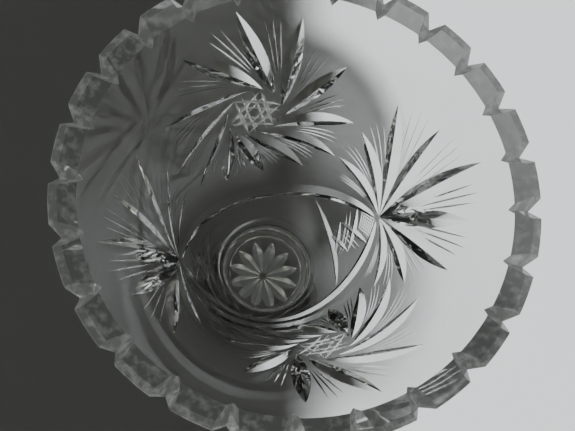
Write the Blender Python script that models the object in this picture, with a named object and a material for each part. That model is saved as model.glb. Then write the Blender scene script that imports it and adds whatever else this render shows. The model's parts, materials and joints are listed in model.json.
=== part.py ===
"""Footed cut-crystal punch bowl in two pieces: a deep tapered bowl with a notched rim,
and the solid crystal stand whose socket the bowl's spigot drops into."""

import math

import bmesh
import bpy

# Driving dimensions, in metres. The stand's foot is at z 0 and the axis is +Z.
RIM_RADIUS = 0.127  # outer edge of the rim
WELL_DEPTH = 0.226  # rim's top down to the flat floor of the well
FLOOR_THICKNESS = 0.0125  # glass under the well
STAND_HEIGHT = 0.0457  # foot up to the seat that the bowl rests on

# Bowl
BASE_RADIUS = 0.0465  # outer wall where it meets the stand
RIM_LEAN = math.radians(25)  # wall's lean from upright at the rim
BASE_LEAN = math.radians(8)  # and at the base
CURVE_REACH = 0.38  # share of the wall's rise over which each end's lean carries
WALL = 0.0100  # wall at the rim, across the glass
BASE_WALL = 0.0130  # wall at the base, across the glass
WELL_FILLET = 0.0060  # rounding between the wall and the well's floor
RIM_LAND = 0.0046  # width of the flat land on top of each tooth
RIM_BEVEL = 0.0044  # drop of the bevel from the land to the inner wall

# Rim teeth
TEETH = 25
NOTCH_SHARE = 0.37  # notch's share of each tooth pitch, at the rim's outer edge
NOTCH_DEPTH = 0.0085
NOTCH_PHASE = math.radians(8.9)  # first notch, round from +X
NOTCH_DRIFT = math.radians(2.5)  # how far the pitch, set by eye, wanders round the rim
DRIFT_PHASE = math.radians(15)

# Joint between the pieces
SPIGOT_RADIUS = 0.0300
SPIGOT_LENGTH = 0.0060
SPIGOT_CLEARANCE = 0.0005  # round the spigot and under it
SEAT_GAP = 0.0003  # between the bowl's base and the stand's seat

# Stand
WAIST_RADIUS = 0.0405
WAIST_HEIGHT = 0.0250
FOOT_RADIUS = 0.0505
FOOT_EDGE = 0.0060  # height of the foot's upright edge
FOOT_RING = 0.0120  # width of the flat ring that it stands on
FOOT_RECESS = 0.0025  # how far the middle of the underside is raised

# Star cut into the underside of the stand
STAR_GROOVES = 6  # each crosses the centre, so it makes two rays
STAR_RADIUS = 0.0300
STAR_WIDTH = 0.0090
STAR_DEPTH = 0.0030
STAR_LIP = 0.0003  # how far a groove's cutter stands out of the face that it cuts

SEGMENTS = 4 * TEETH
WALL_ROWS = 11
FILLET_STEPS = 4
SWEEP_STEPS = 5
EASE = 0.0006  # small chamfer on ground edges
OVERSHOOT = 0.0100  # how far a cutter stands past what it cuts
SHARP = math.radians(20)

SEAT_Z = STAND_HEIGHT
BASE_Z = SEAT_Z + SEAT_GAP
FLOOR_Z = BASE_Z + FLOOR_THICKNESS
RIM_Z = FLOOR_Z + WELL_DEPTH


def clear_scene():
    for obj in list(bpy.data.objects):
        bpy.data.objects.remove(obj, do_unlink=True)


def glass(name, colour, roughness):
    """Clear lead crystal."""
    mat = bpy.data.materials.new(name)
    mat.use_nodes = True
    shader = mat.node_tree.nodes["Principled BSDF"]
    shader.inputs["Base Color"].default_value = (*colour, 1.0)
    shader.inputs["Roughness"].default_value = roughness
    shader.inputs["Metallic"].default_value = 0.0
    shader.inputs["Transmission Weight"].default_value = 1.0
    shader.inputs["IOR"].default_value = 1.54
    return mat


def add_object(name, bm, material=None):
    mesh = bpy.data.meshes.new(name)
    bm.to_mesh(mesh)
    bm.free()
    obj = bpy.data.objects.new(name, mesh)
    bpy.context.scene.collection.objects.link(obj)
    if material:
        mesh.materials.append(material)
    return obj


def turned(name, profile, material):
    """A solid of revolution from (radius, z) points that run down the outer side first."""
    bm = bmesh.new()
    verts = [bm.verts.new((r, 0.0, z)) for r, z in profile]
    for a, b in zip(verts, verts[1:]):
        bm.edges.new((a, b))
    bmesh.ops.spin(
        bm,
        geom=bm.verts[:] + bm.edges[:],
        cent=(0, 0, 0),
        axis=(0, 0, 1),
        angle=2 * math.pi,
        steps=SEGMENTS,
        use_merge=True,
    )
    bmesh.ops.remove_doubles(bm, verts=bm.verts[:], dist=1e-6)
    bmesh.ops.recalc_face_normals(bm, faces=bm.faces[:])
    obj = add_object(name, bm, material)
    obj.data.shade_smooth()
    obj.data.set_sharp_from_angle(angle=SHARP)
    return obj


def cut(obj, cutter):
    cutter.hide_render = True
    cutter.display_type = "WIRE"
    boolean = obj.modifiers.new(cutter.name, "BOOLEAN")
    boolean.operation = "DIFFERENCE"
    boolean.solver = "EXACT"
    boolean.object = cutter


def quarter_turn(steps):
    return [math.pi / 2 * i / steps for i in range(steps + 1)]


def wall_curve(t):
    """Point (radius, z) on the bowl's outer wall and the unit normal there, for t from
    0 at the rim to 1 at the base. It is one cubic Bezier, leaning more at the rim."""
    rise = RIM_Z - BASE_Z
    reach = CURVE_REACH * rise
    p0 = (RIM_RADIUS, RIM_Z)
    p1 = (RIM_RADIUS - reach * math.sin(RIM_LEAN), RIM_Z - reach * math.cos(RIM_LEAN))
    p2 = (BASE_RADIUS + reach * math.sin(BASE_LEAN), BASE_Z + reach * math.cos(BASE_LEAN))
    p3 = (BASE_RADIUS, BASE_Z)
    u = 1 - t
    weights = (u**3, 3 * u * u * t, 3 * u * t * t, t**3)
    point = [sum(w * p[i] for w, p in zip(weights, (p0, p1, p2, p3))) for i in (0, 1)]
    slopes = (u * u, 2 * u * t, t * t)
    steps = [(b[0] - a[0], b[1] - a[1]) for a, b in ((p0, p1), (p1, p2), (p2, p3))]
    tangent = [sum(w * s[i] for w, s in zip(slopes, steps)) for i in (0, 1)]
    length = math.hypot(*tangent)
    normal = (-tangent[1] / length, tangent[0] / length)
    return point, normal


def inner_point(t):
    """Point on the inner wall, straight across the glass from wall_curve(t)."""
    (r, z), (nr, nz) = wall_curve(t)
    wall = WALL + (BASE_WALL - WALL) * t
    return r - nr * wall, z - nz * wall


def bowl_profile():
    outer = [wall_curve(i / WALL_ROWS)[0] for i in range(WALL_ROWS)]
    outer.append((BASE_RADIUS, BASE_Z + EASE))
    outer.append((BASE_RADIUS - EASE, BASE_Z))
    spigot = [
        (SPIGOT_RADIUS, BASE_Z),
        (SPIGOT_RADIUS, BASE_Z - SPIGOT_LENGTH + EASE),
        (SPIGOT_RADIUS - EASE, BASE_Z - SPIGOT_LENGTH),
        (0.0, BASE_Z - SPIGOT_LENGTH),
    ]
    inner = [inner_point(i / WALL_ROWS) for i in range(WALL_ROWS)]
    top = FLOOR_Z + WELL_FILLET
    wall = [p for p in inner if top + WELL_FILLET < p[1] < RIM_Z - RIM_BEVEL - EASE]
    edge = inner_at(top)
    bevel_foot = inner_at(RIM_Z - RIM_BEVEL)
    fillet = [
        (edge - WELL_FILLET * (1 - math.cos(a)), top - WELL_FILLET * math.sin(a))
        for a in quarter_turn(FILLET_STEPS)
    ]
    land = [(RIM_RADIUS - RIM_LAND, RIM_Z)]
    inside = land + [(bevel_foot, RIM_Z - RIM_BEVEL)] + wall + fillet + [(0.0, FLOOR_Z)]
    return inside[::-1] + outer + spigot


def inner_at(z):
    """Inner wall's radius at a height."""
    low, high = 0.0, 1.0
    for _ in range(40):
        mid = (low + high) / 2
        if inner_point(mid)[1] > z:
            low = mid
        else:
            high = mid
    return inner_point(low)[0]


def notch_cutter():
    """One V prism for each notch, lying along a radius with its valley level."""
    half = math.pi * RIM_RADIUS * NOTCH_SHARE / TEETH
    scale = (NOTCH_DEPTH + OVERSHOOT) / NOTCH_DEPTH
    near = RIM_RADIUS - 3 * WALL
    far = RIM_RADIUS + OVERSHOOT
    bm = bmesh.new()
    for tooth in range(TEETH):
        angle = NOTCH_PHASE + 2 * math.pi * tooth / TEETH
        angle += NOTCH_DRIFT * math.cos(angle + DRIFT_PHASE)
        along = (math.cos(angle), math.sin(angle))
        ends = []
        for r in (near, far):
            corners = ((0, -NOTCH_DEPTH), (half * scale, OVERSHOOT), (-half * scale, OVERSHOOT))
            ends.append([
                bm.verts.new((r * along[0] - s * along[1], r * along[1] + s * along[0], RIM_Z + h))
                for s, h in corners
            ])
        bm.faces.new(ends[0])
        bm.faces.new(ends[1][::-1])
        for i in range(3):
            j = (i + 1) % 3
            bm.faces.new((ends[0][j], ends[0][i], ends[1][i], ends[1][j]))
    bmesh.ops.recalc_face_normals(bm, faces=bm.faces[:])
    return add_object("notch_cutter", bm)


def build_bowl():
    bowl = turned("bowl", bowl_profile(), glass("bowl_crystal", (0.98, 0.985, 0.98), 0.02))
    cut(bowl, notch_cutter())
    return bowl


def stand_profile():
    socket_radius = SPIGOT_RADIUS + SPIGOT_CLEARANCE
    socket_z = BASE_Z - SPIGOT_LENGTH - SPIGOT_CLEARANCE
    outer = [(BASE_RADIUS - EASE, SEAT_Z), (BASE_RADIUS, SEAT_Z - EASE)]
    outer += sweep((BASE_RADIUS, SEAT_Z - EASE), (WAIST_RADIUS, WAIST_HEIGHT))[1:]
    outer += sweep((FOOT_RADIUS, FOOT_EDGE), (WAIST_RADIUS, WAIST_HEIGHT))[::-1][1:]
    outer += [(FOOT_RADIUS, EASE), (FOOT_RADIUS - EASE, 0.0)]
    ring = FOOT_RADIUS - FOOT_RING
    step = 2 * FOOT_RECESS  # the ring's inner side slopes, as pressed glass must
    under = [(ring, 0.0), (ring - step, FOOT_RECESS), (0.0, FOOT_RECESS)]
    socket = [(0.0, socket_z), (socket_radius, socket_z), (socket_radius, SEAT_Z)]
    return socket + outer + under


def sweep(edge, waist):
    """Quarter of an ellipse from an edge of the stand into its waist."""
    width, height = edge[0] - waist[0], edge[1] - waist[1]
    return [
        (waist[0] + width * (1 - math.sin(a)), edge[1] - height * (1 - math.cos(a)))
        for a in quarter_turn(SWEEP_STEPS)
    ]


def star_cutter(index):
    """A long double-ended V groove across the centre of the underside."""
    angle = math.pi * (index + 0.5) / STAR_GROOVES
    along = (math.cos(angle), math.sin(angle))
    grow = (STAR_DEPTH + STAR_LIP) / STAR_DEPTH
    widest = FOOT_RECESS - STAR_LIP
    reach = STAR_RADIUS * grow
    side = STAR_WIDTH / 2 * grow
    bm = bmesh.new()
    points = {
        "ridge": (0, 0, FOOT_RECESS + STAR_DEPTH),
        "tip_a": (reach, 0, widest),
        "tip_b": (-reach, 0, widest),
        "side_a": (0, side, widest),
        "side_b": (0, -side, widest),
        "under": (0, 0, -OVERSHOOT),
    }
    v = {
        k: bm.verts.new((x * along[0] - y * along[1], x * along[1] + y * along[0], z))
        for k, (x, y, z) in points.items()
    }
    rim = ("tip_a", "side_a", "tip_b", "side_b")
    for apex in ("ridge", "under"):
        for a, b in zip(rim, rim[1:] + rim[:1]):
            bm.faces.new((v[apex], v[a], v[b]))
    bmesh.ops.recalc_face_normals(bm, faces=bm.faces[:])
    return add_object(f"star_cutter_{index + 1}", bm)


def build_stand():
    stand = turned("stand", stand_profile(), glass("stand_crystal", (0.97, 0.98, 0.975), 0.02))
    for index in range(STAR_GROOVES):
        cut(stand, star_cutter(index))
    return stand


clear_scene()
build_stand()
build_bowl()
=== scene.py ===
import json
import math

import bpy
import numpy as np
from mathutils import Matrix, Vector

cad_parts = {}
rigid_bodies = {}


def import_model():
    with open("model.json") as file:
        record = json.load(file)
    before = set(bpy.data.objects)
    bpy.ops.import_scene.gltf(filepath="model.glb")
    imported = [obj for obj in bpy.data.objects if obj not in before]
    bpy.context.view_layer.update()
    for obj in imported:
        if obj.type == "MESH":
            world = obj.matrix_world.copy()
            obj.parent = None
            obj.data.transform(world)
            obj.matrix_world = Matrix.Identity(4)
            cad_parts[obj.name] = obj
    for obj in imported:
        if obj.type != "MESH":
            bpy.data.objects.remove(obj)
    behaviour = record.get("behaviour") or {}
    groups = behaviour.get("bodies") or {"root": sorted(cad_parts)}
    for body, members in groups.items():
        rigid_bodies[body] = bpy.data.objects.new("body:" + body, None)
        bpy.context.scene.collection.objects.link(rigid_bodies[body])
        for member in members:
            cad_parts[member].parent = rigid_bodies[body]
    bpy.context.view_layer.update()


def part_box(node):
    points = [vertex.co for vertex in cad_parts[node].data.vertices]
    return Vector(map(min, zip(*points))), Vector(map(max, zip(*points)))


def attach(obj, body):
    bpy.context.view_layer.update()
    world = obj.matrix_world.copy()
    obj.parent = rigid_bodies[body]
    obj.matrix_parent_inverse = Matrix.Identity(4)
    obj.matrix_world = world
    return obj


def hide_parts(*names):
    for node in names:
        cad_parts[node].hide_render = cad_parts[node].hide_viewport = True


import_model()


# --- The stand ---------------------------------------------------------------------------
# A solid pedestal of lead crystal, pressed and then turned on a wheel, with a socket on top
# for the bowl's spigot. Its foot ring is ground flat and a star is cut into the underside.
# Only the bowl's weight holds the two together.

stand_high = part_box("stand")[1]
bowl_low, bowl_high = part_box("bowl")
seat_z = stand_high.z
seat_gap = 0.0003
base_radius = 0.0465
foot_radius = stand_high.y
waist_radius, waist_height = 0.0405, 0.0250
foot_edge, foot_ring, foot_recess = 0.0060, 0.0120, 0.0025
socket_radius = 0.0305
ground_edge = 0.0006
socket_floor_z = bowl_low.z - 0.0005  # the bowl's spigot stops short of it
sharp_edge = math.radians(9)
# Satin share in the foot's star, with its painted glow, standing in for reflections in the cuts.
star_satin_and_glow = 0.7
crystal_ior = 1.54
shade_heights, shade_tints = (0.070, 0.100), (0.90, 0.19)
star_rays, star_hub, star_radius, star_depth, star_half_width = 12, 0.0025, 0.0310, 0.0032, 0.0048
leaf_clear = 0.0012  # how far a broad cut's V stands out of the glass
round_segments = 200


def turned_mesh(name, outline, segments=round_segments):
    """A turned solid from (radius, z) points that run from the axis below, up the outer
    side, over the top and back to the axis."""
    points, faces, rows = [], [], []
    for r, z in outline:
        first = len(points)
        if r < 1e-7:
            points.append((0.0, 0.0, z))
            rows.append([first])
            continue
        turn = [2 * math.pi * i / segments for i in range(segments)]
        points += [(r * math.cos(a), r * math.sin(a), z) for a in turn]
        rows.append(list(range(first, first + segments)))
    for low, high in zip(rows, rows[1:]):
        for i in range(segments):
            j = (i + 1) % segments
            if len(low) == 1:
                faces.append((low[0], high[j], high[i]))
            elif len(high) == 1:
                faces.append((low[i], low[j], high[0]))
            else:
                faces.append((low[i], low[j], high[j], high[i]))
    mesh = bpy.data.meshes.new(name)
    mesh.from_pydata(points, [], faces)
    mesh.update()
    return mesh


def solid_object(name, mesh):
    obj = bpy.data.objects.new(name, mesh)
    bpy.context.scene.collection.objects.link(obj)
    return obj


def wheel_cut(name, floor, out, depth, slope, clear):
    """The glass that a V-edged wheel takes out. floor holds the points of the cut's line on
    the surface, out the unit vectors out of the glass there, depth the cut's depth, below
    zero where the wheel has left the glass, slope the depth over the half width, and clear
    how far the V stands out of the glass."""
    floor, out = np.array(floor), np.array(out)
    side = np.cross(out, np.gradient(floor, axis=0))
    side /= np.linalg.norm(side, axis=1)[:, None]
    points, faces = [], []
    for p, m, n, d in zip(floor, side, out, depth):
        half = (d + clear) / slope
        points += [p - n * d, p + n * clear + m * half, p + n * clear - m * half]
    last = len(floor) - 1
    for i in range(last):
        a, b = 3 * i, 3 * i + 3
        for k in range(3):
            j = (k + 1) % 3
            faces.append((a + k, a + j, b + j, b + k))
    faces.append((2, 1, 0))
    faces.append((3 * last, 3 * last + 1, 3 * last + 2))
    mesh = bpy.data.meshes.new(name)
    mesh.from_pydata([tuple(p) for p in points], [], faces)
    mesh.update()
    return mesh


def cut_away(obj, meshes):
    """Takes every cutter mesh out of the object and leaves a plain mesh."""
    tools = bpy.data.collections.new(obj.name + "_cutters")
    bpy.context.scene.collection.children.link(tools)
    for mesh in meshes:
        tool = bpy.data.objects.new(mesh.name, mesh)
        tools.objects.link(tool)
    boolean = obj.modifiers.new("cut", "BOOLEAN")
    boolean.operation = "DIFFERENCE"
    boolean.operand_type = "COLLECTION"
    boolean.collection = tools
    boolean.solver = "MANIFOLD"
    graph = bpy.context.evaluated_depsgraph_get()
    cut = bpy.data.meshes.new_from_object(obj.evaluated_get(graph))
    obj.modifiers.clear()
    whole = obj.data
    obj.data = cut
    bpy.data.meshes.remove(whole)
    for tool in list(tools.objects):
        mesh = tool.data
        bpy.data.objects.remove(tool)
        bpy.data.meshes.remove(mesh)
    bpy.data.collections.remove(tools)


def quarter_sweep(edge, waist, steps=14):
    """Quarter of an ellipse from an edge of the stand into its waist."""
    wide, tall = edge[0] - waist[0], edge[1] - waist[1]
    turns = [math.pi / 2 * i / steps for i in range(steps + 1)]
    return [(waist[0] + wide * (1 - math.sin(a)), edge[1] - tall * (1 - math.cos(a))) for a in turns]


def stand_outline():
    ring = foot_radius - foot_ring
    points = [(0, foot_recess), (ring - 2 * foot_recess, foot_recess), (ring, 0)]
    points += [(foot_radius - ground_edge, 0), (foot_radius, ground_edge)]
    points += quarter_sweep((foot_radius, foot_edge), (waist_radius, waist_height))
    shoulder = (base_radius, seat_z - ground_edge)
    points += quarter_sweep(shoulder, (waist_radius, waist_height))[::-1][1:]
    points += [(base_radius - ground_edge, seat_z), (socket_radius, seat_z)]
    points += [(socket_radius, socket_floor_z), (0, socket_floor_z)]
    return points


def star_ray(index):
    turn = 2 * math.pi * index / star_rays
    along = np.array((math.cos(turn), math.sin(turn), 0))
    steps = np.linspace(-0.04, 1.03, 25)
    reach = star_radius - star_hub
    floor = [along * (star_hub + reach * t) + np.array((0, 0, foot_recess)) for t in steps]
    depth = [star_depth * 2.6 * t * (1 - t * t) for t in steps]
    out = [(0, 0, -1.0)] * len(steps)
    slope = star_depth / star_half_width
    return wheel_cut(f"star_ray_{index}", floor, out, depth, slope, leaf_clear)


def combine(tree, operation, first, second, clamp=False):
    """A Math node of two values, each a socket or a number."""
    node = tree.nodes.new("ShaderNodeMath")
    node.operation, node.use_clamp = operation, clamp
    for socket, value in zip(node.inputs, (first, second)):
        if isinstance(value, (int, float)):
            socket.default_value = value
        else:
            tree.links.new(value, socket)
    return node.outputs["Value"]


def spread(tree, value, low, high, to_low, to_high):
    """Maps a value from one span to another, and holds it at the ends."""
    node = tree.nodes.new("ShaderNodeMapRange")
    for socket, number in zip(("From Min", "From Max", "To Min", "To Max"), (low, high, to_low, to_high)):
        node.inputs[socket].default_value = number
    tree.links.new(value, node.inputs["Value"])
    return node.outputs["Result"]


def blend(tree, factor, first, second):
    """A colour between two, each a socket or a colour."""
    node = tree.nodes.new("ShaderNodeMix")
    node.data_type = "RGBA"
    for socket, colour in (("A", first), ("B", second)):
        if isinstance(colour, tuple):
            node.inputs[socket].default_value = (*colour, 1)
        else:
            tree.links.new(colour, node.inputs[socket])
    tree.links.new(factor, node.inputs["Factor"])
    return node.outputs["Result"]


def noise(tree, place, scale, detail, roughness=0.5):
    node = tree.nodes.new("ShaderNodeTexNoise")
    node.inputs["Scale"].default_value = scale
    node.inputs["Detail"].default_value = detail
    node.inputs["Roughness"].default_value = roughness
    tree.links.new(place, node.inputs["Vector"])
    return node.outputs["Fac"]


def hand_polish():
    """A shader node group for polished crystal: a slow ripple left by the polishing wheel and
    the acid bath, a patchy film of handling that dulls the glass a little, and the uneven
    strength of a painted glow, light that the satin faces give off as a stand-in for highlights."""
    group = bpy.data.node_groups.new("hand_polish", "ShaderNodeTree")
    sockets = group.interface
    for name, kind, value in (
        ("Tint", "NodeSocketColor", (1, 1, 1, 1)),
        ("Ripple", "NodeSocketFloat", 0.05),
        ("Film", "NodeSocketFloat", 0.5),
        ("Painted Glow Strength", "NodeSocketFloat", 0.05),
    ):
        sockets.new_socket(name, in_out="INPUT", socket_type=kind).default_value = value
    for name, kind in (
        ("Base Color", "NodeSocketColor"),
        ("Roughness", "NodeSocketFloat"),
        ("Normal", "NodeSocketVector"),
        ("Painted Glow", "NodeSocketFloat"),
    ):
        sockets.new_socket(name, in_out="OUTPUT", socket_type=kind)
    given, made = group.nodes.new("NodeGroupInput"), group.nodes.new("NodeGroupOutput")
    place = group.nodes.new("ShaderNodeTexCoord").outputs["Object"]
    bump = group.nodes.new("ShaderNodeBump")
    bump.inputs["Distance"].default_value = 0.0006
    group.links.new(given.outputs["Ripple"], bump.inputs["Strength"])
    group.links.new(noise(group, place, 55, 1.5), bump.inputs["Height"])
    patch = spread(group, noise(group, place, 26, 6, 0.7), 0.48, 0.78, 0, 1)
    film = combine(group, "MULTIPLY", patch, given.outputs["Film"])
    # Painted glow: an uneven strength for the light that the satin faces give off, a stand-in for
    # glinting highlights.
    painted_glow_flicker = spread(group, noise(group, place, 230, 2), 0.45, 0.75, 0.9, 2.0)
    for name, made_by in (
        ("Base Color", blend(group, film, given.outputs["Tint"], (0.88, 0.88, 0.86))),
        ("Roughness", combine(group, "MULTIPLY", film, 0.05)),
        ("Normal", bump.outputs["Normal"]),
        ("Painted Glow", combine(group, "MULTIPLY", painted_glow_flicker, given.outputs["Painted Glow Strength"])),
    ):
        group.links.new(made_by, made.inputs[name])
    return group


polish = hand_polish()


def lead_glass(tree, polished, path, place, inside):
    """The clear crystal itself. Rays that have glanced off the glass meet the well's faces, from the
    well, as dark grey glass: painted shade that dims what the wall opposite shows in reflection."""
    shader = tree.nodes["Principled BSDF"]
    shader.inputs["Transmission Weight"].default_value = 0.985
    shader.inputs["IOR"].default_value = crystal_ior
    entering = combine(tree, "SUBTRACT", inside, place.outputs["Backfacing"], clamp=True)
    painted_reflection_shade = combine(tree, "MULTIPLY", entering, path.outputs["Is Glossy Ray"])
    # Painted shade: dark grey glass for rays that arrive after a reflection.
    colour = blend(tree, painted_reflection_shade, polished.outputs["Base Color"], (0.15, 0.15, 0.15))
    tree.links.new(colour, shader.inputs["Base Color"])
    for socket in ("Roughness", "Normal"):
        tree.links.new(polished.outputs[socket], shader.inputs[socket])
    return shader.outputs["BSDF"]


def ground_glass_with_glow(tree, polished, ground_and_glow, tint, rough, clear):
    """The satin skin that a stone leaves, with a painted glow: it gives off light of its own, more where
    its share of satin is higher, as a stand-in for highlights.
    """
    satin_and_glow = tree.nodes.new("ShaderNodeBsdfPrincipled")
    satin_and_glow.inputs["Base Color"].default_value = (*(0.45 * c for c in tint), 1)
    satin_and_glow.inputs["Roughness"].default_value = rough
    satin_and_glow.inputs["Transmission Weight"].default_value = clear
    satin_and_glow.inputs["IOR"].default_value = crystal_ior
    # Painted glow: the satin gives off light, though it is no lamp.
    satin_and_glow.inputs["Emission Strength"].default_value = 1.0
    glow_by_satin_share = spread(tree, ground_and_glow, 0.6, 1.0, 0.55, 3.4)
    painted_glow = combine(tree, "MULTIPLY", glow_by_satin_share, polished.outputs["Painted Glow"])
    tree.links.new(blend(tree, painted_glow, (0, 0, 0), (0.95, 1.0, 0.96)), satin_and_glow.inputs["Emission Color"])
    return satin_and_glow.outputs["BSDF"]


def straight_through(tree, place, inside):
    """What shadow and diffuse rays meet: light goes straight on, weaker through the cut wall
    than through the clear foot, so that the shade on the floor is soft and even."""
    height = tree.nodes.new("ShaderNodeSeparateXYZ")
    tree.links.new(place.outputs["Position"], height.inputs["Vector"])
    shade = spread(tree, height.outputs["Z"], *shade_heights, *shade_tints)
    clear = tree.nodes.new("ShaderNodeBsdfTransparent")
    tree.links.new(combine(tree, "MAXIMUM", shade, inside), clear.inputs["Color"])
    return clear.outputs["BSDF"]


def face_mark(tree, name):
    mark = tree.nodes.new("ShaderNodeAttribute")
    mark.attribute_name = name
    return mark.outputs["Fac"]


def mix_shaders(tree, factor, first, second):
    mix = tree.nodes.new("ShaderNodeMixShader")
    for source, socket in zip((factor, first, second), mix.inputs):
        tree.links.new(source, socket)
    return mix.outputs["Shader"]


def crystal(name, tint, satin_rough, satin_clear, painted_glow_strength):
    mat = bpy.data.materials.new(name)
    mat.use_nodes = True
    tree = mat.node_tree
    polished = tree.nodes.new("ShaderNodeGroup")
    polished.node_tree = polish
    polished.inputs["Tint"].default_value = (*tint, 1)
    polished.inputs["Ripple"].default_value = 0.06
    polished.inputs["Film"].default_value = 0.5
    # Strength of the painted glow: light that the satin faces give off as a stand-in for highlights.
    polished.inputs["Painted Glow Strength"].default_value = painted_glow_strength
    path, place = tree.nodes.new("ShaderNodeLightPath"), tree.nodes.new("ShaderNodeNewGeometry")
    inside, ground_and_glow = face_mark(tree, "inside"), face_mark(tree, "ground_and_glow")
    glass = lead_glass(tree, polished, path, place, inside)
    satin_and_glow = ground_glass_with_glow(tree, polished, ground_and_glow, tint, satin_rough, satin_clear)
    # The face attribute mixes in satin, and with it the painted glow.
    seen = mix_shaders(tree, ground_and_glow, glass, satin_and_glow)
    passing = combine(tree, "MAXIMUM", path.outputs["Is Shadow Ray"], path.outputs["Is Diffuse Ray"])
    whole = mix_shaders(tree, passing, seen, straight_through(tree, place, inside))
    tree.links.new(whole, tree.nodes["Material Output"].inputs["Surface"])
    return mat


def finish_crystal(obj, tint, satin_rough, satin_clear, painted_glow_strength):
    """Smooth shading with crisp cut edges, and the piece's own crystal."""
    obj.data.materials.clear()
    obj.data.materials.append(crystal(obj.name + "_glass", tint, satin_rough, satin_clear, painted_glow_strength))
    obj.data.shade_smooth()
    obj.data.set_sharp_from_angle(angle=sharp_edge)


def mark_star(mesh):
    """Face attribute for the foot's star: a share of satin with a painted glow, standing in for the
    bright reflections in its polished cuts.
    """
    ground_and_glow = mesh.attributes.new("ground_and_glow", "FLOAT", "FACE")
    for face, satin_and_glow in zip(mesh.polygons, ground_and_glow.data):
        in_star = foot_recess + 1e-5 < face.center.z < foot_recess + star_depth + 0.001
        satin_and_glow.value = star_satin_and_glow if in_star and face.normal.z < -0.2 else 0.0


stand = solid_object("crystal_stand", turned_mesh("crystal_stand", stand_outline()))
cut_away(stand, [star_ray(i) for i in range(star_rays)])
finish_crystal(stand, tint=(0.98, 0.985, 0.98), satin_rough=0.35, satin_clear=0.45, painted_glow_strength=0.040)
mark_star(stand.data)
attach(stand, "stand_body")
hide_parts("stand")


# --- The bowl ----------------------------------------------------------------------------
# One thick blank of lead crystal, blown into a mould and turned true, with a short spigot
# under it. Every mitre, ray and notch is then cut into the outside on stone wheels with a
# V edge, and the whole bowl is acid polished, so that the cuts are as clear as the rest.

rim_radius, rim_z = bowl_high.y - 0.0001, bowl_high.z  # a hair inside the widest tooth
base_z = seat_z + seat_gap
floor_thick = 0.0125
floor_z = base_z + floor_thick
spigot_radius = 0.0300
rim_lean, base_lean = math.radians(25), math.radians(8)
curve_reach = 0.38  # share of the wall's rise over which each end's lean carries
rim_wall, base_wall = 0.0100, 0.0130
well_fillet = 0.0060  # rounding between the wall and the well's floor
rim_land, rim_bevel, rim_arris = 0.0046, 0.0044, 0.0005


def outer_wall(samples=2001):
    """Radius, z, the normal's two parts and the distance down the wall from the rim, along
    the one smooth curve of the outer wall."""
    reach = curve_reach * (rim_z - base_z)
    ends = np.array((
        (rim_radius, rim_z),
        (rim_radius - reach * math.sin(rim_lean), rim_z - reach * math.cos(rim_lean)),
        (base_radius + reach * math.sin(base_lean), base_z + reach * math.cos(base_lean)),
        (base_radius, base_z),
    ))
    t = np.linspace(0, 1, samples)
    u = 1 - t
    at = np.stack((u**3, 3 * u * u * t, 3 * u * t * t, t**3), 1) @ ends
    run = np.stack((u * u, 2 * u * t, t * t), 1) @ np.diff(ends, axis=0)
    run /= np.hypot(run[:, 0], run[:, 1])[:, None]
    down = np.concatenate(((0,), np.cumsum(np.hypot(*np.diff(at, axis=0).T))))
    return at[:, 0], at[:, 1], -run[:, 1], run[:, 0], down


wall_r, wall_z, wall_nr, wall_nz, wall_down = outer_wall()
wall_thick = rim_wall + (base_wall - rim_wall) * np.linspace(0, 1, len(wall_r))
inner_r, inner_z = wall_r - wall_nr * wall_thick, wall_z - wall_nz * wall_thick


def inner_radius(z):
    return float(np.interp(z, inner_z[::-1], inner_r[::-1]))


def bowl_outline():
    down = np.linspace(0, wall_down[-1], 66)
    outer = [(np.interp(s, wall_down, wall_r), np.interp(s, wall_down, wall_z)) for s in down]
    outer[0] = (float(np.interp(rim_arris, wall_down, wall_r)), rim_z - rim_arris)
    outer.insert(0, (rim_radius - rim_arris, rim_z))
    outer[-1] = (base_radius, base_z + ground_edge)
    below = [(0, bowl_low.z), (spigot_radius - ground_edge, bowl_low.z)]
    below += [(spigot_radius, bowl_low.z + ground_edge), (spigot_radius, base_z)]
    below += [(base_radius - ground_edge, base_z)]
    corner_z = floor_z + well_fillet
    corner_r = inner_radius(corner_z)
    bevel_z = rim_z - rim_bevel
    heights = np.linspace(bevel_z, corner_z, 60)
    inner = [(inner_radius(z), z) for z in heights]
    round_in = [math.radians(6 * i) for i in range(1, 16)]
    fillet = [
        (corner_r - well_fillet * (1 - math.cos(a)), corner_z - well_fillet * math.sin(a))
        for a in round_in
    ]
    land = [(rim_radius - rim_land, rim_z)]
    return below + outer[::-1] + land + inner + fillet + [(0, floor_z)]


teeth, notch_share, notch_depth = 25, 0.37, 0.0085
notch_phase = math.radians(8.9)
notch_drift, drift_phase = math.radians(2.5), math.radians(15)
notch_inward, notch_outward, notch_clear = 0.032, 0.010, 0.008


def notch(index):
    """One cut across the rim, its floor level. The wheel was set by eye, so the pitch
    drifts a little round the rim."""
    turn = notch_phase + 2 * math.pi * index / teeth
    turn += notch_drift * math.cos(turn + drift_phase)
    along = np.array((math.cos(turn), math.sin(turn), 0))
    reach = (rim_radius - notch_inward, rim_radius + notch_outward)
    floor = [along * r + np.array((0, 0, rim_z)) for r in reach]
    half = math.pi * rim_radius * notch_share / teeth
    up = [(0, 0, 1.0)] * 2
    return wheel_cut(f"notch_{index}", floor, up, [notch_depth] * 2, notch_depth / half, notch_clear)


def on_wall(turn, down, lift=0.0):
    """Point on the outer wall, and the unit vectors out of it, round it and down it."""
    r, z = np.interp(down, wall_down, wall_r), np.interp(down, wall_down, wall_z)
    nr, nz = np.interp(down, wall_down, wall_nr), np.interp(down, wall_down, wall_nz)
    c, s = math.cos(turn), math.sin(turn)
    out = np.array((nr * c, nr * s, nz))
    return np.array((r * c, r * s, z)) + out * lift, out


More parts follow.
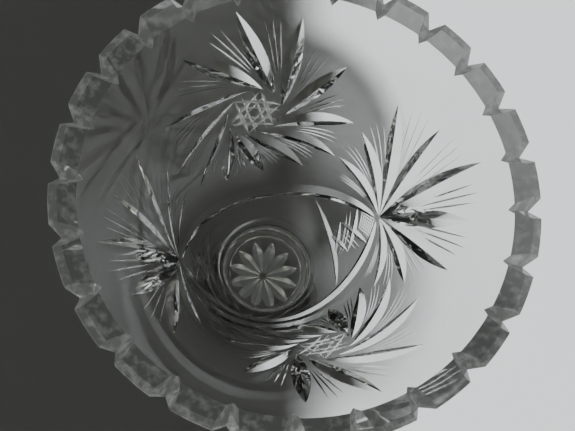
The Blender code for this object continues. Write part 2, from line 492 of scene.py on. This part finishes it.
def wall_path(turn, down, route):
    """Points on the wall along a route of (across, up) distances from the point at an angle
    and a distance down the wall."""
    for across, up in route:
        s = down - up
        yield turn + across / np.interp(s, wall_down, wall_r), s


def mitre(name, turn, down, route, depths, slope, clear):
    """A V cut along a route on the outer wall."""
    at, out = zip(*(on_wall(a, s) for a, s in wall_path(turn, down, route)))
    return wheel_cut(name, at, out, depths, slope, clear)


mitre_slope, ray_slope, swag_slope, crescent_slope = 0.62, 0.85, 0.72, 0.82
ray_clear = 0.0004  # how far a fine cut's V stands out of the glass


def leaf(name, turn, down, start, end, half_width, slope=mitre_slope, clear=leaf_clear, steps=17):
    """A straight mitre, pointed at both ends, as a wheel leaves it when it is let in and
    lifted out again."""
    depth = half_width * slope
    over = 0.9 * clear / (4 * depth)
    share = np.linspace(-over, 1 + over, steps)
    start, end = np.array(start), np.array(end)
    route = [start + (end - start) * t for t in share]
    depths = [depth * 4 * t * (1 - t) for t in share]
    return mitre(name, turn, down, route, depths, slope, clear)


def ray(name, turn, down, start, end, half_width=0.0006):
    return leaf(name, turn, down, start, end, half_width, ray_slope, ray_clear, 9)


def polar(length, degrees_from_up):
    a = math.radians(degrees_from_up)
    return (length * math.sin(a), length * math.cos(a))


fan_down = 0.1300  # the hub, down the wall from the rim
# Each leaf's angle from straight up, its length and its half width.
fan_leaves = (
    (0, 0.0990, 0.0076),
    (20.5, 0.0875, 0.0068),
    (40.0, 0.0925, 0.0068),
    (60.0, 0.0685, 0.0058),
    (87.5, 0.0555, 0.0050),
)
# Each trio of rays' angle and length, then how the trio spreads and where it starts.
fan_rays = ((10.0, 0.094), (30.5, 0.094), (50.5, 0.076), (74.0, 0.060), (106.0, 0.046))
trio_spread, trio_start, trio_taper = 3.6, 0.42, 0.03


def fan(name, turn):
    """Nine leaves from one hub, and three fine rays in each gap between them."""
    cuts = []
    for k, (angle, length, half) in enumerate(fan_leaves):
        for sign in (1, -1) if angle else (1,):
            start, end = polar(0.001, sign * angle), polar(length, sign * angle)
            cuts.append(leaf(f"{name}_leaf_{k}_{sign}", turn, fan_down, start, end, half))
    for k, (angle, length) in enumerate(fan_rays):
        for sign in (1, -1):
            for j in (-1, 0, 1):
                a = sign * angle + trio_spread * j
                reach = length * (1.0 - trio_taper * abs(j))
                start, end = polar(trio_start * reach, a), polar(reach, a)
                cuts.append(ray(f"{name}_ray_{k}_{sign}_{j}", turn, fan_down, start, end))
    return cuts


whirl_blades, whirl_ring, whirl_reach, whirl_twist = 12, 0.0200, 0.0720, 55
whirl_phase, whirl_stretch, whirl_blade_half = 6, 0.0085, 0.0060
# The star's four lines each way: share of the offset from the middle, and half width.
whirl_star = ((-1, 0.0014), (-0.45, 0.0008), (0.45, 0.0008), (1, 0.0014))
whirl_star_reach, star_offset = 0.0195, 0.0095
whirl_trio_turn, whirl_trio_spread, whirl_trio_from, whirl_trio_to = 15, 4.5, 0.30, 0.90


def whirl(name, turn, whirl_down):
    """Twelve blades that leave a ring at a slant, three fine rays after each, and a
    six-pointed star of crossing cuts inside the ring."""
    cuts = []
    for k in range(whirl_blades):
        a = whirl_phase + 360 / whirl_blades * k
        reach = whirl_reach + whirl_stretch * math.cos(math.radians(a))
        start, end = polar(whirl_ring, a - whirl_twist), polar(reach, a)
        cuts.append(leaf(f"{name}_blade_{k}", turn, whirl_down, start, end, whirl_blade_half))
        run = np.array(end) - np.array(start)
        heading = math.degrees(math.atan2(run[0], run[1])) + whirl_trio_turn
        foot = np.array(polar(whirl_ring + 0.001, a - whirl_twist + whirl_trio_turn))
        for j in (-1, 0, 1):
            step = np.array(polar(1.0, heading + whirl_trio_spread * j)) * np.linalg.norm(run)
            start = foot + step * whirl_trio_from
            end = foot + step * (whirl_trio_to - trio_taper * abs(j))
            cuts.append(ray(f"{name}_ray_{k}_{j}", turn, whirl_down, start, end))
    for k in range(3):
        along, across = np.array(polar(1.0, 60 * k + 15)), np.array(polar(1.0, 60 * k + 105))
        for j, half in whirl_star:
            middle = across * star_offset * j
            half_span = math.sqrt(whirl_star_reach**2 - (star_offset * j) ** 2)
            start, end = middle - along * half_span, middle + along * half_span
            cuts.append(ray(f"{name}_star_{k}_{j}", turn, whirl_down, start, end, half))
    return cuts


swag_drop, swag_half, swag_start = 0.0600, 0.0074, 0.003


def swag(name, turn):
    """The broad curved mitre that hangs from one fan's hub to the next, lowest under the
    whirl between them."""
    share = np.linspace(0, 1, 61)
    depth = swag_half * swag_slope
    places, depths = [], []
    for t in share:
        down = fan_down + swag_start + swag_drop * math.sin(math.pi * t)
        places.append((turn + math.pi * t, down))
        depths.append(depth * math.sqrt(max(4 * t * (1 - t), 0)) if 0 < t < 1 else -0.0010)
    at, out = zip(*(on_wall(a, s) for a, s in places))
    return wheel_cut(name, at, out, depths, swag_slope, leaf_clear)


crescent_half_span, crescent_drop, crescent_rise, crescent_depth = 0.042, 0.0685, 0.0165, 0.0037
# The grid's lines: where each crosses the middle below the hub, its half width and its span.
grid_lines = (
    (0.0335, 0.0030, 0.026),
    (0.0590, 0.0028, 0.022),
    (0.0435, 0.0010, 0.026),
    (0.0490, 0.0010, 0.026),
)
hatch_lines, hatch_pitch, hatch_half_width, hatch_half_span = 7, 0.0023, 0.0011, 0.0100
hatch_top, hatch_shift = 0.0030, 0.0092


def crescent(name, turn):
    share = np.linspace(-0.04, 1.04, 25)
    route, depths = [], []
    for t in share:
        side = 2 * t - 1
        route.append((crescent_half_span * side, crescent_rise * side**2 - crescent_drop))
        depths.append(crescent_depth * 4 * t * (1 - t))
    return mitre(name, turn, fan_down, route, depths, crescent_slope, leaf_clear)


def panel(name, turn):
    """The cuts under a fan's hub: the crescent that closes the panel, its slanting grid and
    the fine crosshatch at its top. Both slant at 45 degrees, each way."""
    cuts = [crescent(f"{name}_crescent", turn)]
    for sign in (1, -1):
        step, across = np.array((sign * 0.7071, 0.7071)), np.array((-sign * 0.7071, 0.7071))
        for drop, half, span in grid_lines:
            middle = np.array((0.0, -drop))
            start, end = middle - step * span * 0.75, middle + step * span * 0.85
            cuts.append(ray(f"{name}_grid_{sign}_{drop}", turn, fan_down, start, end, half))
        for j in range(1, hatch_lines + 1):
            middle = np.array((0.0, -hatch_top)) - across * (hatch_pitch * j) - step * hatch_shift
            start, end = middle - step * hatch_half_span, middle + step * hatch_half_span
            cuts.append(ray(f"{name}_hatch_{sign}_{j}", turn, fan_down, start, end, hatch_half_width))
    return cuts


cuts = [notch(i) for i in range(teeth)]
for name, turn in (("right_fan", 0.0), ("left_fan", math.pi)):
    cuts += fan(name, turn)
    cuts += panel(name + "_panel", turn)
    cuts.append(swag(name + "_swag", turn))
whirl_places = (
    ("far_whirl", math.radians(90.5), 0.1010),
    ("near_whirl", math.radians(274.5), 0.1060),
)
for name, turn, down in whirl_places:
    cuts += whirl(name, turn, down)


wall_near, wall_aligned = 6e-5, math.cos(math.radians(12))


def true_wall_normals(mesh):
    """Gives what is left of the two turned walls their exact normals, which the many thin
    faces between the cuts would otherwise blur."""
    count = len(mesh.loops)
    normals, corner = np.empty(count * 3), np.empty(count, dtype=int)
    mesh.corner_normals.foreach_get("vector", normals)
    mesh.loops.foreach_get("vertex_index", corner)
    normals = normals.reshape(-1, 3)
    at, flat = np.empty(len(mesh.vertices) * 3), np.empty(len(mesh.polygons) * 3)
    mesh.vertices.foreach_get("co", at)
    mesh.polygons.foreach_get("normal", flat)
    at = at.reshape(-1, 3)[corner]
    sizes = np.empty(len(mesh.polygons), dtype=int)
    mesh.polygons.foreach_get("loop_total", sizes)
    flat = np.repeat(flat.reshape(-1, 3), sizes, axis=0)
    r = np.maximum(np.hypot(at[:, 0], at[:, 1]), 1e-6)
    run = np.gradient(inner_r), np.gradient(inner_z)
    length = np.hypot(*run)
    walls = ((wall_r, wall_z, wall_nr, wall_nz), (inner_r, inner_z, run[1] / length, -run[0] / length))
    for line_r, line_z, nr, nz in walls:
        height = at[:, 2]
        off = np.abs(r - np.interp(height, line_z[::-1], line_r[::-1]))
        lean_r, lean_z = (np.interp(height, line_z[::-1], n[::-1]) for n in (nr, nz))
        exact = np.stack((at[:, 0] / r * lean_r, at[:, 1] / r * lean_r, lean_z), 1)
        near = (off < wall_near) & (height < rim_z - 1e-4) & (height > base_z + 0.001)
        turned = near & ((exact * flat).sum(1) > wall_aligned)
        whole = np.logical_and.reduceat(turned, np.concatenate(((0,), np.cumsum(sizes)[:-1])))
        turned = np.repeat(whole, sizes)
        normals[turned] = exact[turned]
    mesh.normals_split_custom_set(normals)


# Shares of satin on the rim's faces and the whirls' crossing cuts; each also sets a painted glow, light
# the face gives off as a stand-in for highlights.
arris_satin_and_glow, land_satin_and_glow, bevel_satin_and_glow, notch_satin_and_glow, whirl_star_satin_and_glow = 1.0, 0.6, 0.74, 0.82, 0.9
satin_and_glow_reach, least_square, most_square = 0.0185, 0.3, 0.93


def rim_satin_and_glow(out, across, notched):
    """The share of satin and of painted glow on a face of the rim, from its normal and how far that leans
    out.
    """
    if across > 0.5:
        return arris_satin_and_glow
    if notched:
        return notch_satin_and_glow
    return land_satin_and_glow if out.z > 0.98 else bevel_satin_and_glow


def mark_faces(mesh):
    """Face attributes: inside is 1 on the well's uncut wall and floor, and the other holds the
    share of satin that the stone left on the rim's flats and notches and in the crossing cuts
    within each whirl, which also sets a painted glow there, a stand-in for highlights."""
    hubs = [on_wall(turn, down) for name, turn, down in whirl_places]
    inside = mesh.attributes.new("inside", "FLOAT", "FACE")
    ground_and_glow = mesh.attributes.new("ground_and_glow", "FLOAT", "FACE")
    for face, in_well, satin_and_glow in zip(mesh.polygons, inside.data, ground_and_glow.data):
        middle, out = face.center, face.normal
        r = math.hypot(middle.x, middle.y)
        across = (middle.x * out.x + middle.y * out.y) / r if r > 1e-6 else 0.0
        high = middle.z > rim_z - rim_bevel
        in_well.value = float(middle.z > floor_z - 1e-4 and not high and (across < -0.5 or out.z > 0.3))
        notched = middle.z > rim_z - notch_depth - 1e-4 and abs(across) < 0.2
        if out.z > 0.2 and (high or notched):
            satin_and_glow.value = rim_satin_and_glow(out, across if high else 0.0, notched)
        for hub, hub_out in hubs:
            near = math.dist(middle, hub) < satin_and_glow_reach and middle.z < rim_z - notch_depth
            if near and least_square < float(np.dot(hub_out, out)) < most_square:
                satin_and_glow.value = whirl_star_satin_and_glow


bowl = solid_object("crystal_bowl", turned_mesh("crystal_bowl", bowl_outline()))
cut_away(bowl, cuts)
finish_crystal(bowl, tint=(0.985, 0.99, 0.985), satin_rough=0.10, satin_clear=0.86, painted_glow_strength=0.050)
true_wall_normals(bowl.data)
mark_faces(bowl.data)
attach(bowl, "bowl_body")
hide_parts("bowl")


# --- Floor, light and camera -------------------------------------------------------------
# A sheet of pale matt paper lies under the foot. One soft key light comes from high up, and a
# black card and a disc of dark gel keep it off part of the floor, as in a studio.

def flat_sheet(name, half_x, half_y, z):
    mesh = bpy.data.meshes.new(name)
    corners = [(-half_x, -half_y, z), (half_x, -half_y, z), (half_x, half_y, z), (-half_x, half_y, z)]
    mesh.from_pydata(corners, [], [(0, 1, 2, 3)])
    return solid_object(name, mesh)


floor_half, floor_drop = 4, 0.0002
floor = flat_sheet("floor", floor_half, floor_half, -floor_drop)
paper = bpy.data.materials.new("pale_floor")
paper.use_nodes = True
sheet = paper.node_tree
fibre = noise(sheet, sheet.nodes.new("ShaderNodeTexCoord").outputs["Object"], 3.0, 5)
shade_of_paper = blend(sheet, fibre, (0.60, 0.605, 0.61), (0.64, 0.645, 0.65))
sheet.links.new(shade_of_paper, sheet.nodes["Principled BSDF"].inputs["Base Color"])
sheet.nodes["Principled BSDF"].inputs["Roughness"].default_value = 0.8
floor.data.materials.append(paper)

sun = bpy.data.lights.new("key", "SUN")
sun.energy = 6.7
sun.color = (0.955, 0.985, 1.0)
sun.angle = math.radians(6)
key = bpy.data.objects.new("key", sun)
bpy.context.scene.collection.objects.link(key)
to_sun = Vector((-0.14, -0.46, 1.0)).normalized()
key.rotation_mode = "QUATERNION"
key.rotation_quaternion = to_sun.to_track_quat("Z", "Y")

# A card over the far-left half keeps the key light off that side of the floor.
flag_height = 0.50
shade_edge, shade_turn = Vector((0.065, 0.07, 0.0)), math.radians(-14)
flag_half_width, flag_half_length = 0.45, 1.0
flag = flat_sheet("flag", flag_half_width, flag_half_length, 0)
flag.rotation_euler = (0, 0, shade_turn)
inward = Vector((math.cos(shade_turn), math.sin(shade_turn), 0))
flag.location = shade_edge - inward * flag_half_width + to_sun * (flag_height / to_sun.z)
flag.visible_camera = False
black_card = bpy.data.materials.new("black_card")
black_card.use_nodes = True
black_card.node_tree.nodes["Principled BSDF"].inputs["Base Color"].default_value = (0.03, 0.03, 0.03, 1)
flag.data.materials.append(black_card)

# A round sheet of dark gel takes most of the key light off the floor round the foot.
gel_place, gel_radius, gel_sides = Vector((0.040, -0.005, 0.0)), 0.105, 48
turns = [2 * math.pi * i / gel_sides for i in range(gel_sides)]
disc = bpy.data.meshes.new("gel")
edge = [(gel_radius * math.cos(a), gel_radius * math.sin(a), 0) for a in turns]
disc.from_pydata(edge, [], [tuple(range(gel_sides))])
gel = solid_object("gel", disc)
gel.location = gel_place + to_sun * (flag_height / to_sun.z) + Vector((0, 0, 0.01))
gel.visible_camera = False
dark_gel = bpy.data.materials.new("dark_gel")
dark_gel.use_nodes = True
gel_clear = dark_gel.node_tree.nodes.new("ShaderNodeBsdfTransparent")
gel_clear.inputs["Color"].default_value = (0.17, 0.17, 0.17, 1)
dark_gel.node_tree.links.new(
    gel_clear.outputs["BSDF"], dark_gel.node_tree.nodes["Material Output"].inputs["Surface"]
)
gel.data.materials.append(dark_gel)

world = bpy.data.worlds.new("studio")
bpy.context.scene.world = world
world.use_nodes = True
sky_nodes, sky_links = world.node_tree.nodes, world.node_tree.links
sky_place = sky_nodes.new("ShaderNodeTexCoord")
sky_parts = sky_nodes.new("ShaderNodeSeparateXYZ")
sky_ramp = sky_nodes.new("ShaderNodeValToRGB")
sky_links.new(sky_place.outputs["Generated"], sky_parts.inputs["Vector"])
sky_links.new(sky_parts.outputs["Z"], sky_ramp.inputs["Fac"])
sky_links.new(sky_ramp.outputs["Color"], sky_nodes["Background"].inputs["Color"])
low_sky, high_sky = sky_ramp.color_ramp.elements
low_sky.position, low_sky.color = 0.10, (0.80, 0.81, 0.69, 1)
high_sky.position, high_sky.color = 0.38, (0.010, 0.010, 0.010, 1)

look_turn, look_elevation, look_roll = math.radians(-36.9), math.radians(73.6), math.radians(-23.8)
distance, shift_right, shift_up = 2.813 * rim_radius, 0.067 * rim_radius, 0.117 * rim_radius
back = Vector((
    math.sin(look_turn) * math.cos(look_elevation),
    -math.cos(look_turn) * math.cos(look_elevation),
    math.sin(look_elevation),
))
level_right = Vector((math.cos(look_turn), math.sin(look_turn), 0))
level_up = back.cross(level_right)
right = level_right * math.cos(look_roll) - level_up * math.sin(look_roll)
up = back.cross(right)
camera_data = bpy.data.cameras.new("camera")
camera_data.sensor_width = 36
camera_data.lens = 43.8
camera = bpy.data.objects.new("camera", camera_data)
bpy.context.scene.collection.objects.link(camera)
place = Vector((0, 0, rim_z)) + back * distance - right * shift_right - up * shift_up
camera.matrix_world = Matrix.Translation(place) @ Matrix((right, up, back)).transposed().to_4x4()
bpy.context.scene.camera = camera
